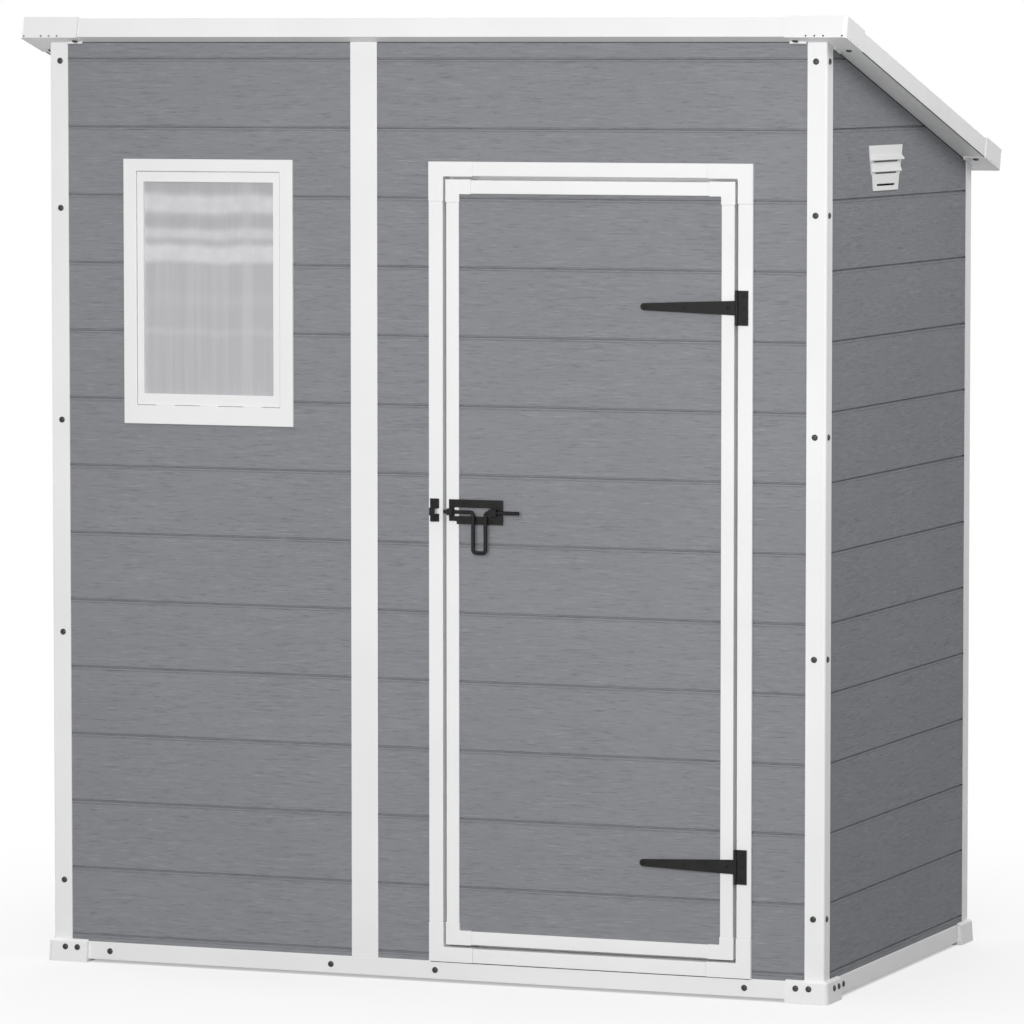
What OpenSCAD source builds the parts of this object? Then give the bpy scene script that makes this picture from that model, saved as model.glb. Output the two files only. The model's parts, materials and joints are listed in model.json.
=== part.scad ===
// Lean-to resin garden shed with one hinged door, a sliding latch bolt and a fixed window.
// X is the width, Y runs from the front to the rear and Z is up, all in millimetres.
// The origin lies on the ground under the middle of the roof outline.

/* [Overall] */
// Outer width across the side wall panels
shed_w = 1722; // [1660:1:2200]
// Outer depth across the front and rear wall panels
shed_d = 980; // [900:1:1400]
// Height of the upper front edge of the roof
front_h = 2004; // [1970:1:2200]

/* [Fits] */
// Gap between a panel and the channel that holds it
fit = 0.3; // [0.1:0.05:0.5]
// Gap between a sliding or turning rod and its guide
rod_fit = 0.3; // [0.2:0.05:0.5]

/* [Wall panels] */
// Thickness of a wall panel
wall_t = 18; // [14:1:22]
// Height of one moulded board
board_pitch = 143; // [100:1:180]
// Height of the lowest lap line above the ground
first_lap_z = 61; // [55:1:120]
// Depth of the lap groove
lap_depth = 4; // [2:0.5:6]
// Height of the lap groove
lap_h = 3; // [2:0.5:5]
// Distance from the lap line to the fine line under it
fine_line_drop = 9; // [8:0.5:14]
// Depth of the fine line
fine_line_depth = 1; // [0.5:0.25:2]

/* [Corner posts] */
// Width of a post on the front and rear walls
post_face_w = 42; // [36:1:60]
// Width of a post on the side walls
post_side_w = 36; // [30:1:60]
// Distance a post stands out from the wall panels
post_proud = 3; // [2:0.5:5]
// Width of the solid core of a post
post_core = 20; // [16:1:24]
// Rounding of the outer post corner
post_round = 5; // [2:0.5:8]

/* [Joiner strips] */
// Width of the strips between wall panels
strip_w = 60; // [40:1:90]
// Distance a strip stands out from the wall panels
strip_proud = 3; // [2:0.5:5]
// Thickness of the web between two panels
strip_web = 4; // [3:0.5:8]
// Distance from the front strip to the door frame
strip_to_door = 117; // [90:1:140]

/* [Base] */
// Height of the rails above the ground
rail_z = 6; // [5:0.5:12]
// Height of the top of the rails
rail_top = 44; // [38:1:50]
// Thickness of the web under the wall panels
rail_web = 4; // [3:0.5:8]
// Distance the rails stand out from the wall panels
rail_proud = 5; // [4:0.5:8]
// Thickness of the inner rail wall
rail_wall = 4; // [3:0.5:6]
// Width of the ledge that carries the floor
ledge_w = 13; // [8:0.5:14]
// Height of a corner foot
foot_h = 47.5; // [45:0.5:60]
// Length of the two arms of a corner foot
foot_arm = 93; // [80:1:140]
// Distance a foot stands out from the wall panels at the ground
foot_proud = 15; // [13:0.5:24]
// Lean of the outer foot faces from the ground to the top
foot_draft = 3; // [0:0.5:5]
// Depth of the sloped edge round the top of a foot
foot_bevel_w = 6; // [2:0.5:6.5]
// Height of the sloped edge round the top of a foot
foot_bevel_h = 5; // [2:0.5:8]
// Rounding of the outer foot corner
foot_round = 13; // [12:0.5:18]
// Thickness of the floor panel
floor_t = 18; // [12:1:24]
// Number of ribs under the floor panel
floor_ribs = 6; // [3:1:10]
// Width of a rib under the floor panel
floor_rib_w = 30; // [15:1:50]

/* [Roof] */
// Fall of the roof towards the rear in degrees
roof_slope = 15; // [8:0.5:17]
// Distance from the front wall to the lower front edge of the roof
front_overhang = 41; // [30:1:80]
// Distance from the rear wall to the lower rear edge of the roof
rear_overhang = 49; // [30:1:80]
// Distance from a side wall to the side edge of the roof
side_overhang = 54.5; // [30:0.5:80]
// Height of the roof edge over the corner caps
roof_edge_h = 43; // [42:1:60]
// Distance the corner caps stand out from the trims
cap_proud = 2.5; // [1:0.25:3]
// Thickness of the trim walls
trim_wall = 3; // [2:0.5:5]
// Width of the flange under the roof edge
soffit_w = 82; // [76:1:110]
// Width of the lips that hold the roof panels
trim_lip = 34; // [20:1:60]
// Height of the seat of the roof panels above the underside of the trims
panel_seat = 21; // [14:1:21]
// Thickness of a roof panel
roof_panel_t = 16; // [10:1:17]
// Width of a roof rib at its foot
roof_rib_w = 34; // [20:1:50]
// Width of a roof rib at its crown
roof_rib_crown = 20; // [8:1:20]
// Height of a roof rib
roof_rib_h = 3; // [1:0.25:3]
// Spacing of the roof ribs
roof_rib_pitch = 100; // [60:1:140]
// Distance from the middle of the roof to the first rib
roof_rib_first = 100; // [70:1:120]
// Least distance from the side edge of the roof to the middle of a rib
roof_rib_margin = 80; // [70:1:140]
// Distance from the roof edge to the ends of the ribs
roof_rib_inset = 75; // [65:1:120]
// Length of a corner cap along the front and rear edges
cap_front_len = 130; // [90:1:200]
// Length of a corner cap along the side edges
cap_side_len = 116; // [90:1:200]
// Rounding of the outer cap corner
cap_round = 9; // [4:0.5:16]
// Distance the plate of a corner cap hangs below the trims
cap_drop = 2; // [1:0.5:3]
// Gap between the plate of a corner cap and the post
cap_clear = 1; // [0.5:0.25:2]
// Height of the turned-down edge of the plate beside the post
cap_lip_h = 3.5; // [2:0.5:6]
// Width of the turned-down edge of the plate
cap_lip_w = 3; // [2:0.5:4]
// Radius of the drain holes in a corner cap
drain_r = 2.25; // [1:0.25:2.5]
// Height of the drain holes above the plate of a corner cap
drain_rise = 3.5; // [3:0.25:5]
// Depth of the drain holes in a corner cap
drain_depth = 8; // [4:0.5:8]
// Distance from the corner to the single drain hole
drain_corner = 9; // [9:0.5:20]
// Distance from the corner to the first of the drain holes at the front and rear
drain_front_start = 48.5; // [40:0.5:60]
// Distance from the corner to the first of the drain holes at the sides
drain_side_start = 36.5; // [30:0.5:50]
// Spacing of the drain holes
drain_pitch = 18.5; // [10:0.5:24]
// Number of drain holes in a row
drain_count = 3; // [1:1:4]

/* [Window] */
// Distance from the left wall to the window frame
window_margin = 168.5; // [120:0.5:180]
// Width of the window frame
window_w = 386.5; // [360:0.5:410]
// Height of the window frame
window_h = 557; // [540:1:700]
// Distance from the front roof edge down to the window frame
window_drop = 297; // [240:1:340]
// Distance the window frame stands out from the wall
window_proud = 8; // [4:0.5:12]
// Width of the frame that covers the edge of the wall cut-out
frame_cover = 12; // [6:0.5:16]
// Width of the frame face beside the sash
window_side = 30.5; // [28:0.5:40]
// Width of the frame face over the sash
window_head = 27; // [22:0.5:40]
// Width of the frame face under the sash
window_sill = 40.5; // [32:0.5:50]
// Gap round the sash
sash_gap = 1.25; // [1:0.25:3]
// Distance the sash face lies behind the frame face
sash_set_in = 3; // [1:0.5:4]
// Thickness of the sash edge that laps over the frame
sash_lap_t = 6; // [4:0.5:8]
// Width of the sash edge that laps over the frame
sash_lap_w = 5; // [4:0.5:5.5]
// Width of the sash beside the pane
sash_side = 14.5; // [14:0.5:24]
// Width of the sash over the pane
sash_head = 21; // [14:0.5:30]
// Width of the sash under the pane
sash_sill = 23.5; // [14:0.5:34]
// Thickness of the pane
pane_t = 4; // [3:0.5:6]
// Depth of the groove that holds the pane
pane_groove = 7; // [4:0.5:8]
// Distance the pane lies behind the sash face
pane_set_in = 9; // [4:0.5:9]
// Spacing of the three clips under the sash
clip_pitch = 100; // [80:1:110]
// Width of a clip under the sash
clip_w = 43; // [20:1:60]
// Distance the clips lie behind the sash face
clip_set_in = 1; // [0.5:0.25:2]

/* [Door frame] */
// Distance from the right wall to the door frame
door_margin = 153; // [120:1:180]
// Width of the door frame
door_frame_w = 708; // [640:1:720]
// Distance from the front roof edge down to the door frame
door_drop = 298; // [240:1:360]
// Width of the frame face over and under the door
frame_face = 30; // [26:0.5:40]
// Width of the frame face at the two sides of the door
jamb_face = 31.5; // [26:0.5:40]
// Distance the door frame stands out from the wall
frame_proud = 8; // [5:0.5:12]
// Depth of the frame behind the outer wall face
frame_depth = 34; // [33:0.5:45]
// Width of the stop behind the door
stop_w = 20; // [17:0.5:26]
// Thickness of the stop behind the door
stop_t = 5; // [4:0.5:6]
// Length of a frame corner along the head and the sill
frame_corner_w = 97; // [70:1:160]
// Length of a frame corner along the jambs
frame_corner_h = 82; // [60:1:160]
// Distance a corner piece stands out from the straight pieces
corner_proud = 1; // [0.5:0.25:2]

/* [Door] */
// Gap at the two sides of the door
door_gap_side = 7.5; // [7:0.5:12]
// Gap over the door
door_gap_top = 8; // [7.5:0.5:12]
// Gap under the door
door_gap_bottom = 8; // [7.5:0.5:14]
// Thickness of the door
door_t = 28; // [26:0.5:30]
// Width of the stiles and rails
stile_w = 28; // [24:0.5:36]
// Thickness of the door panel
door_panel_t = 14; // [10:0.5:16]
// Distance the door panel lies behind the stile faces
door_panel_set_in = 6; // [4:0.5:8]
// Depth of the groove that holds the door panel
door_groove = 14; // [8:0.5:18]
// Length of a door corner along the rails
door_corner_w = 55; // [40:1:90]
// Length of a door corner along the stiles
door_corner_h = 46; // [38:1:90]
// Distance a door corner reaches into the gap
door_corner_grow = 1.5; // [0.5:0.25:2]

/* [Hinges] */
// Distance from the top of the door down to the upper hinge
hinge_drop = 254.5; // [120:0.5:400]
// Distance from the bottom of the door up to the lower hinge
hinge_rise = 191; // [120:0.5:400]
// Height of a hinge leaf on the jamb
leaf_h = 71; // [56:1:100]
// Width of a hinge leaf from the pin
leaf_w = 24; // [20:0.5:28]
// Thickness of the hinge metal
hinge_t = 3; // [2:0.5:3.5]
// Distance from the door edge to the hinge pin
pin_offset = 6; // [4:0.25:6]
// Radius of the hinge knuckles
knuckle_r = 3.25; // [3:0.25:5]
// Gap between the knuckle of a strap and the leaf beside it
knuckle_gap = 0.75; // [0.5:0.25:2]
// Radius of the hinge pin
pin_r = 1.6; // [1.2:0.1:1.8]
// Length of the strap from the pin
strap_len = 208; // [140:1:300]
// Height of the strap at the pin
strap_root_h = 30; // [24:1:36]
// Height of the strap at its tip
strap_tip_h = 14.5; // [10:0.5:20]

/* [Latch] */
// Distance from the bottom of the door up to the bolt
bolt_rise = 901.5; // [700:0.5:1000]
// Radius of the bolt
bolt_r = 4; // [3:0.25:4.5]
// Length of the bolt
bolt_len = 166; // [150:1:200]
// Travel of the bolt into the keeper
bolt_travel = 34; // [28:1:36]
// Distance of the bolt from the latch plate
bolt_standoff = 7; // [6:0.25:10]
// Distance from the bolt tip to the first leg of the handle
handle_start = 65; // [62:1:80]
// Width between the legs of the handle
handle_w = 27.5; // [24:0.5:40]
// Drop of the handle below the bolt
handle_drop = 84; // [50:1:100]
// Bend radius of the handle
handle_bend = 7; // [6:0.5:10]
// Height of the latch plate
latch_plate_h = 51; // [40:1:70]
// Distance from the door edge to the latch plate
latch_inset = 7; // [5:0.5:9]
// Thickness of the latch metal
latch_t = 2.5; // [2:0.5:3.5]
// Width of the guide at the tip of the bolt and of the strap of the keeper
guide_w = 12; // [10:1:14]
// Width of the guide at the tail of the bolt
tail_guide_w = 17; // [12:1:22]
// Gap between the bend of the handle and the guide at the tail of the bolt
bend_clear = 1; // [0.5:0.25:3]
// Distance from the tail guide to the end of the latch plate
tail_guide_inset = 10; // [6:0.5:16]
// Thickness of the metal of a bolt guide
guide_wall = 2.5; // [2:0.25:3]
// Gap between the bolt and the keeper
keeper_play = 1.5; // [1:0.25:2]
// Height of the window in the latch plate
latch_slot_h = 18; // [12:1:24]
// Width of the notch under the tip end of the latch plate
latch_notch_w = 17; // [12:0.5:24]
// Height of the notch under the tip end of the latch plate
latch_notch_h = 6; // [3:0.5:8]
// Width of the keeper on the jamb
keeper_w = 19.5; // [16:0.5:22]
// Height of the keeper on the jamb
keeper_h = 48; // [36:1:60]
// Distance from the bolt up to the middle of the keeper
keeper_lift = 2; // [0:0.5:4]
// Distance from the frame edge to the keeper
keeper_inset = 4; // [3:0.5:6]

/* [Vents] */
// Distance from the front wall to the middle of a vent
vent_setback = 383; // [300:1:460]
// Distance from the front roof edge down to a vent
vent_drop = 265; // [240:1:360]
// Height of the top tier of a vent
vent_top_h = 35.5; // [30:0.5:38]
// Height of the middle tier of a vent
vent_mid_h = 25.5; // [22:0.5:28]
// Height of the low tier of a vent
vent_low_h = 33; // [28:0.5:36]
// Width of a vent at its top
vent_top_w = 222; // [215:1:240]
// Lean of the ends of a tier in degrees
vent_lean = 13.5; // [8:0.5:15]
// Width lost at each end from one tier to the next
vent_ledge = 3.5; // [2:0.25:4]
// Thickness of the vent plate
vent_t = 3; // [2:0.5:5]
// Distance the top hood stands out from the plate
vent_top_hood = 7.5; // [5:0.5:12]
// Distance the middle hood stands out from the plate
vent_mid_hood = 4.5; // [3:0.5:8]
// Height of a hood above its slot
vent_hood_h = 12; // [8:0.5:14]
// Thickness of the lower edge of a hood
vent_hood_t = 3; // [2:0.5:4]
// Height of a slot
vent_slot_h = 4; // [3:0.5:6]
// Distance from the foot of the top tier to its slot
vent_top_slot = 0.5; // [0:0.5:4]
// Distance from the foot of the middle tier to its slot
vent_mid_slot = 2; // [0.5:0.5:4]
// Distance from the foot of the low tier to its slot
vent_low_slot = 10; // [8:0.5:14]
// Distance from the lower corner of a tier to the end of its slot
vent_slot_inset = 21; // [15:0.5:30]
// Width of the wall cut-out behind the low slot of a vent
vent_hole_w = 150; // [80:1:152]
// Height of the wall cut-out behind the low slot of a vent
vent_hole_h = 16; // [8:1:18]

/* [Hidden] */
$fn = 48;
half_w = shed_w / 2;
// Roof size and place, with its outline centred on the origin
roof_w = shed_w + 2 * side_overhang;
roof_len = (shed_d + front_overhang + rear_overhang) / cos(roof_slope);
roof_y = -(roof_len * cos(roof_slope) + (roof_edge_h - cap_drop) * sin(roof_slope)) / 2;
roof_z = front_h - roof_edge_h * cos(roof_slope);
front_y = roof_y + front_overhang;
rear_y = front_y + shed_d;
mid_y = (front_y + rear_y) / 2;
// Heights of the seats in the base
panel_z = rail_z + rail_web;
lap_count = ceil(front_h / board_pitch);
// Number of ribs on a roof panel
roof_rib_count = 1 + floor((roof_w / 2 - roof_rib_first - roof_rib_margin) / roof_rib_pitch);
// Reach of the posts and rails measured inwards from the outer wall faces
post_skin = post_proud - fit;
post_reach = post_face_w - post_proud;
post_side_reach = post_side_w - post_proud;
rail_inner = wall_t + fit + rail_wall;
floor_edge = rail_inner + fit;
// Ends of the wall panels
panel_end = half_w - post_core - fit;
side_panel_w = shed_d - 2 * (post_core + fit);
// Door frame outline and the cut-out it fills
frame_x1 = half_w - door_margin;
frame_x0 = frame_x1 - door_frame_w;
frame_z0 = rail_top;
frame_z1 = front_h - door_drop;
cut_x0 = frame_x0 + frame_cover;
cut_x1 = frame_x1 - frame_cover;
cut_z1 = frame_z1 - frame_cover;
stop_y = frame_depth - stop_t;
strip_x = frame_x0 - strip_to_door - strip_w / 2;
// Door outline
door_x0 = frame_x0 + jamb_face + door_gap_side;
door_x1 = frame_x1 - jamb_face - door_gap_side;
door_z0 = frame_z0 + frame_face + door_gap_bottom;
door_z1 = frame_z1 - frame_face - door_gap_top;
door_face = -frame_proud;
door_panel_y = door_face + door_panel_set_in;
// Window outline
window_x0 = -half_w + window_margin;
window_x = window_x0 + window_w / 2;
window_z1 = front_h - window_drop;
window_z = window_z1 - window_h;
sash_w = window_w - 2 * window_side;
sash_h = window_h - window_head - window_sill;
sash_z = window_z + window_sill;
sash_y = -window_proud + sash_set_in;
pane_w = sash_w - 2 * sash_side;
pane_h = sash_h - sash_head - sash_sill;
pane_z = sash_z + sash_sill;
pane_y = sash_y + pane_set_in;
// Hinge pin and hinge heights
hinge_upper_z = door_z1 - hinge_drop;
hinge_lower_z = door_z0 + hinge_rise;
hinge_x = door_x1 + pin_offset;
hinge_y = door_face - knuckle_r;
// Bolt axis and latch plate
bolt_z = door_z0 + bolt_rise;
plate_face = door_face - latch_t;
bolt_y = plate_face - bolt_standoff;
bolt_tip = door_x0 - 1.5;
plate_x0 = door_x0 + latch_inset;
tail_guide_x = bolt_tip + handle_start + handle_w + handle_bend + bend_clear;
tail_guide_end = tail_guide_x + tail_guide_w;
plate_x1 = tail_guide_end + tail_guide_inset;
keeper_x0 = frame_x0 + keeper_inset;
// Roof trims
trim_slot_top = panel_seat + roof_panel_t + fit;
vent_h = vent_top_h + vent_mid_h + vent_low_h;
vent_z = front_h - vent_drop - vent_h;
vent_hole_z = vent_z + vent_low_slot + (vent_slot_h - vent_hole_h) / 2;

// Shared helpers

// Box between two corners
module box(x0, x1, y0, y1, z0, z1) {
    translate([x0, y0, z0])
        cube([x1 - x0, y1 - y0, z1 - z0]);
}

// Wall frames: x to the right seen from outside, y inwards from the outer panel face
module at_front() {
    translate([0, front_y, 0])
        children();
}

module at_rear() {
    translate([0, rear_y, 0])
        rotate([0, 0, 180])
            children();
}

module at_left() {
    translate([-half_w, mid_y, 0])
        rotate([0, 0, -90])
            children();
}

module at_right() {
    translate([half_w, mid_y, 0])
        rotate([0, 0, 90])
            children();
}

// Corner frame: x and y run inwards from the outer panel faces
module at_corner(side, end) {
    translate([side * half_w, end < 0 ? front_y : rear_y, 0])
        mirror([side > 0 ? 1 : 0, 0, 0])
            mirror([0, end > 0 ? 1 : 0, 0])
                children();
}

// Roof frame: y runs down the slope from the front edge and z stands on the underside
module at_roof() {
    translate([0, roof_y, roof_z])
        rotate([-roof_slope, 0, 0])
            children();
}

module at_roof_corner(side, end) {
    translate([side * roof_w / 2, end < 0 ? 0 : roof_len, 0])
        mirror([side > 0 ? 1 : 0, 0, 0])
            mirror([0, end > 0 ? 1 : 0, 0])
                children();
}

// Cuts what reaches above the underside of the roof
module under_roof() {
    difference() {
        children();
        at_roof()
            translate([-roof_w, -roof_len, -fit])
                cube([2 * roof_w, 3 * roof_len, roof_len]);
    }
}

// Extrudes a drawing of depth and height along x
module along_x(x0, x1) {
    translate([x0, 0, 0])
        rotate([90, 0, 90])
            linear_extrude(x1 - x0)
                children();
}

// Wall panels

// Outline of one moulded lap, from the upper board down
function lap_points(z) = [
    [0, z],
    [lap_depth, z],
    [lap_depth, z - lap_h],
    [0, z - lap_h - lap_depth / 2],
    [0, z - fine_line_drop + fine_line_depth],
    [fine_line_depth, z - fine_line_drop],
    [0, z - fine_line_drop - fine_line_depth]
];

function lap_z(k) = first_lap_z + (lap_count - k) * board_pitch;

// Drawing of a panel with its laps, outer face at depth zero
module lap_drawing(t, z0, z1) {
    laps = [
        for (k = [0 : lap_count])
            if (lap_z(k) < z1 - 2 && lap_z(k) - fine_line_drop - 2 > z0)
                for (p = lap_points(lap_z(k))) p
    ];
    polygon(concat([[t, z0], [t, z1], [0, z1]], laps, [[0, z0]]));
}

module lap_wall(x0, x1, z0, z1) {
    along_x(x0, x1)
        lap_drawing(wall_t, z0, z1);
}

module front_wall_window_panel() {
    color("#86878b")
        at_front_under_roof()
            difference() {
                lap_wall(-panel_end, strip_x - strip_web / 2 - fit, panel_z, front_h);
                box(
                    window_x0 + frame_cover, window_x0 + window_w - frame_cover, -wall_t, 2 * wall_t,
                    window_z + frame_cover, window_z1 - frame_cover
                );
            }
}

module front_wall_left_of_door() {
    color("#86878b")
        at_front_under_roof()
            lap_wall(strip_x + strip_web / 2 + fit, cut_x0, panel_z, front_h);
}

module front_wall_right_of_door() {
    color("#86878b")
        at_front_under_roof()
            lap_wall(cut_x1, panel_end, panel_z, front_h);
}

module front_wall_over_door() {
    color("#86878b")
        at_front_under_roof()
            lap_wall(cut_x0, cut_x1, cut_z1, front_h);
}

module at_front_under_roof() {
    under_roof()
        at_front()
            children();
}

module rear_wall_left() {
    color("#86878b")
        under_roof()
            at_rear()
                lap_wall(strip_web / 2 + fit, panel_end, panel_z, front_h);
}

module rear_wall_right() {
    color("#86878b")
        under_roof()
            at_rear()
                lap_wall(-panel_end, -strip_web / 2 - fit, panel_z, front_h);
}

// Side panel with the cut-out behind the low slot of the vent, left or right of its middle
module side_panel(vent_x) {
    difference() {
        lap_wall(-side_panel_w / 2, side_panel_w / 2, panel_z, front_h);
        box(
            vent_x - vent_hole_w / 2, vent_x + vent_hole_w / 2, -wall_t, 2 * wall_t,
            vent_hole_z, vent_hole_z + vent_hole_h
        );
    }
}

module side_wall_left() {
    color("#86878b")
        under_roof()
            at_left()
                side_panel(shed_d / 2 - vent_setback);
}

module side_wall_right() {
    color("#86878b")
        under_roof()
            at_right()
                side_panel(vent_setback - shed_d / 2);
}

// Corner posts and joiner strips

// Section of a post with a channel for each of the two walls
module post_drawing() {
    difference() {
        union() {
            translate([-post_proud, -post_proud])
                square(post_proud + post_core);
            translate([-post_proud, -post_proud])
                square([post_face_w, post_skin]);
            translate([-post_proud, -post_proud])
                square([post_skin, post_side_w]);
            translate([post_core - 1, wall_t + fit])
                square([post_reach - post_core + 1, post_skin]);
            translate([wall_t + fit, post_core - 1])
                square([post_skin, post_side_reach - post_core + 1]);
        }
        translate([-post_proud, -post_proud])
            difference() {
                translate([-1, -1])
                    square(post_round + 1);
                translate([post_round, post_round])
                    circle(post_round);
            }
    }
}

module corner_post(side, end) {
    color("#ececec")
        under_roof()
            at_corner(side, end)
                translate([0, 0, rail_z])
                    linear_extrude(front_h - rail_z)
                        post_drawing();
}

module corner_post_front_left() {
    corner_post(-1, -1);
}

module corner_post_front_right() {
    corner_post(1, -1);
}

module corner_post_rear_left() {
    corner_post(-1, 1);
}

module corner_post_rear_right() {
    corner_post(1, 1);
}

// Section of an H strip round the edges of two panels
module strip_drawing() {
    translate([-strip_w / 2, -strip_proud])
        square([strip_w, strip_proud - fit]);
    translate([-strip_web / 2, -strip_proud])
        square([strip_web, strip_proud + wall_t + strip_proud]);
    translate([-strip_w / 2, wall_t + fit])
        square([strip_w, strip_proud - fit]);
}

module strip_bar(x) {
    translate([x, 0, rail_top])
        linear_extrude(front_h - rail_top)
            strip_drawing();
}

module joiner_strip_front() {
    color("#ececec")
        at_front_under_roof()
            strip_bar(strip_x);
}

module joiner_strip_rear() {
    color("#ececec")
        under_roof()
            at_rear()
                strip_bar(0);
}

// Base

// Section of a rail: a channel for the wall and a ledge for the floor
module rail_drawing() {
    polygon([
        [-rail_proud, rail_z],
        [-rail_proud, rail_top],
        [-fit, rail_top],
        [-fit, panel_z],
        [wall_t + fit, panel_z],
        [wall_t + fit, rail_top],
        [rail_inner, rail_top],
        [rail_inner, panel_z],
        [rail_inner + ledge_w, panel_z],
        [rail_inner + ledge_w, rail_z]
    ]);
}

module rail_bar(half_len) {
    along_x(-half_len, half_len)
        rail_drawing();
}

module base_rail_front() {
    color("#e8e8e8")
        at_front()
            rail_bar(half_w - post_reach - fit);
}

module base_rail_rear() {
    color("#e8e8e8")
        at_rear()
            rail_bar(half_w - post_reach - fit);
}

module base_rail_left() {
    color("#e8e8e8")
        at_left()
            rail_bar(shed_d / 2 - post_side_reach - fit);
}

module base_rail_right() {
    color("#e8e8e8")
        at_right()
            rail_bar(shed_d / 2 - post_side_reach - fit);
}

// Half section of a foot, measured from the middle of its round corner outwards
module foot_drawing(inner) {
    polygon([
        [inner, 0],
        [foot_round, 0],
        [foot_round - foot_draft, foot_h - foot_bevel_h],
        [foot_round - foot_draft - foot_bevel_w, foot_h],
        [inner, foot_h]
    ]);
}

// Straight arm of a foot from its round corner inwards, along y
module foot_run() {
    reach = foot_arm - foot_round;
    translate([0, reach, 0])
        rotate([90, 0, 0])
            linear_extrude(reach)
                mirror([1, 0])
                    foot_drawing(-reach);
}

// Outer body of a foot: two leaning arms joined by a round leaning corner
module foot_body() {
    foot_run();
    mirror([1, -1, 0])
        foot_run();
    rotate_extrude()
        foot_drawing(0);
}

// Rectangle with a rounded corner at the origin
module rounded_corner(w, d, r) {
    translate([r, 0])
        square([w - r, d]);
    translate([0, r])
        square([w, d - r]);
    translate([r, r])
        circle(r);
}

module corner_foot() {
    difference() {
        translate([foot_round - foot_proud, foot_round - foot_proud, 0])
            foot_body();
        box(-rail_proud - fit, foot_arm, -rail_proud - fit, foot_arm, rail_z, rail_top + fit);
        box(-post_proud - fit, foot_arm, -post_proud - fit, foot_arm, rail_z, foot_h + 1);
    }
}

module corner_feet() {
    color("#e8e8e8")
        for (side = [-1, 1])
            for (end = [-1, 1])
                at_corner(side, end)
                    corner_foot();
}

// Floor deck on the rail ledges, with ribs that stand on the ground
module floor_panel() {
    half_x = half_w - floor_edge;
    rib_x = half_w - foot_arm;
    rib_span = shed_d - 2 * foot_arm - floor_rib_w;
    color("#77787c") {
        box(-half_x, half_x, front_y + floor_edge, rear_y - floor_edge, panel_z, panel_z + floor_t);
        for (k = [0 : floor_ribs - 1])
            translate([-rib_x, front_y + foot_arm + k * rib_span / (floor_ribs - 1), 0])
                cube([2 * rib_x, floor_rib_w, panel_z + 1]);
    }
}

// Roof

// Section of a roof trim; the inset is its distance from the cap faces
module trim_drawing(inset) {
    inner = inset + trim_wall;
    top = roof_edge_h - inset;
    polygon([
        [inset, 0],
        [soffit_w, 0],
        [soffit_w, trim_wall],
        [inner, trim_wall],
        [inner, panel_seat - trim_wall],
        [trim_lip, panel_seat - trim_wall],
        [trim_lip, panel_seat],
        [inner, panel_seat],
        [inner, trim_slot_top],
        [trim_lip, trim_slot_top],
        [trim_lip, top],
        [inset, top]
    ]);
}

// Trim along the front edge of the roof frame
module trim_along_x(x0, x1, inset) {
    along_x(x0, x1)
        trim_drawing(inset);
}

// Trim along the left edge of the roof frame
module trim_along_y(y0, y1, inset) {
    translate([0, y1, 0])
        rotate([90, 0, 0])
            linear_extrude(y1 - y0)
                trim_drawing(inset);
}

module roof_trim_front() {
    half_len = roof_w / 2 - cap_front_len;
    color("#f0f0f0")
        at_roof()
            trim_along_x(-half_len, half_len, cap_proud);
}

module roof_trim_rear() {
    half_len = roof_w / 2 - cap_front_len;
    color("#f0f0f0")
        at_roof()
            translate([0, roof_len, 0])
                mirror([0, 1, 0])
                    trim_along_x(-half_len, half_len, cap_proud);
}

module side_trim() {
    translate([-roof_w / 2, 0, 0])
        trim_along_y(cap_side_len, roof_len - cap_side_len, cap_proud);
}

module roof_trim_left() {
    color("#f0f0f0")
        at_roof()
            side_trim();
}

module roof_trim_right() {
    color("#f0f0f0")
        at_roof()
            mirror([1, 0, 0])
                side_trim();
}

// Outline of a corner cap seen from above
module cap_outline() {
    rounded_corner(cap_front_len, cap_side_len, cap_round);
}

// Both trim sections carried round the corner, with an even wall in the bend
module cap_sleeve() {
    intersection() {
        union() {
            trim_along_x(0, cap_front_len, 0);
            trim_along_y(0, cap_side_len, 0);
            linear_extrude(roof_edge_h)
                difference() {
                    square(cap_round);
                    translate([cap_round, cap_round])
                        circle(cap_round - trim_wall);
                }
        }
        linear_extrude(roof_edge_h)
            cap_outline();
    }
}

// Plate under the two arms, turned down beside the post
module cap_plate(reach_x, reach_y, past_post_x, past_post_y) {
    low = -cap_drop - cap_lip_h;
    translate([0, 0, -cap_drop])
        linear_extrude(cap_drop + trim_wall / 2)
            intersection() {
                cap_outline();
                union() {
                    square([cap_front_len, reach_y]);
                    square([reach_x, cap_side_len]);
                }
            }
    box(past_post_x, cap_front_len, reach_y - cap_lip_w, reach_y, low, 0);
    box(reach_x - cap_lip_w, reach_x, past_post_y, cap_side_len, low, 0);
}

// Drain hole into the front face of a cap
module cap_drain(x) {
    translate([x, -1, drain_rise - cap_drop])
        rotate([-90, 0, 0])
            cylinder(r = drain_r, h = drain_depth + 1);
}

// Corner cap at the origin; the overhang is the one of its front or rear edge
module corner_cap(overhang) {
    reach_x = side_overhang - post_proud - cap_clear;
    lean = (cap_drop + cap_lip_h) * sin(roof_slope);
    reach_y = (overhang - post_proud - cap_clear - lean) / cos(roof_slope);
    past_post_x = side_overhang - post_proud + post_face_w + cap_clear;
    past_post_y = (overhang - post_proud + post_side_w) / cos(roof_slope) + cap_clear;
    difference() {
        union() {
            cap_sleeve();
            cap_plate(reach_x, reach_y, past_post_x, past_post_y);
        }
        cap_drain(drain_corner);
        for (k = [0 : drain_count - 1]) {
            cap_drain(drain_front_start + k * drain_pitch);
            mirror([1, -1, 0])
                cap_drain(drain_side_start + k * drain_pitch);
        }
    }
}

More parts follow.
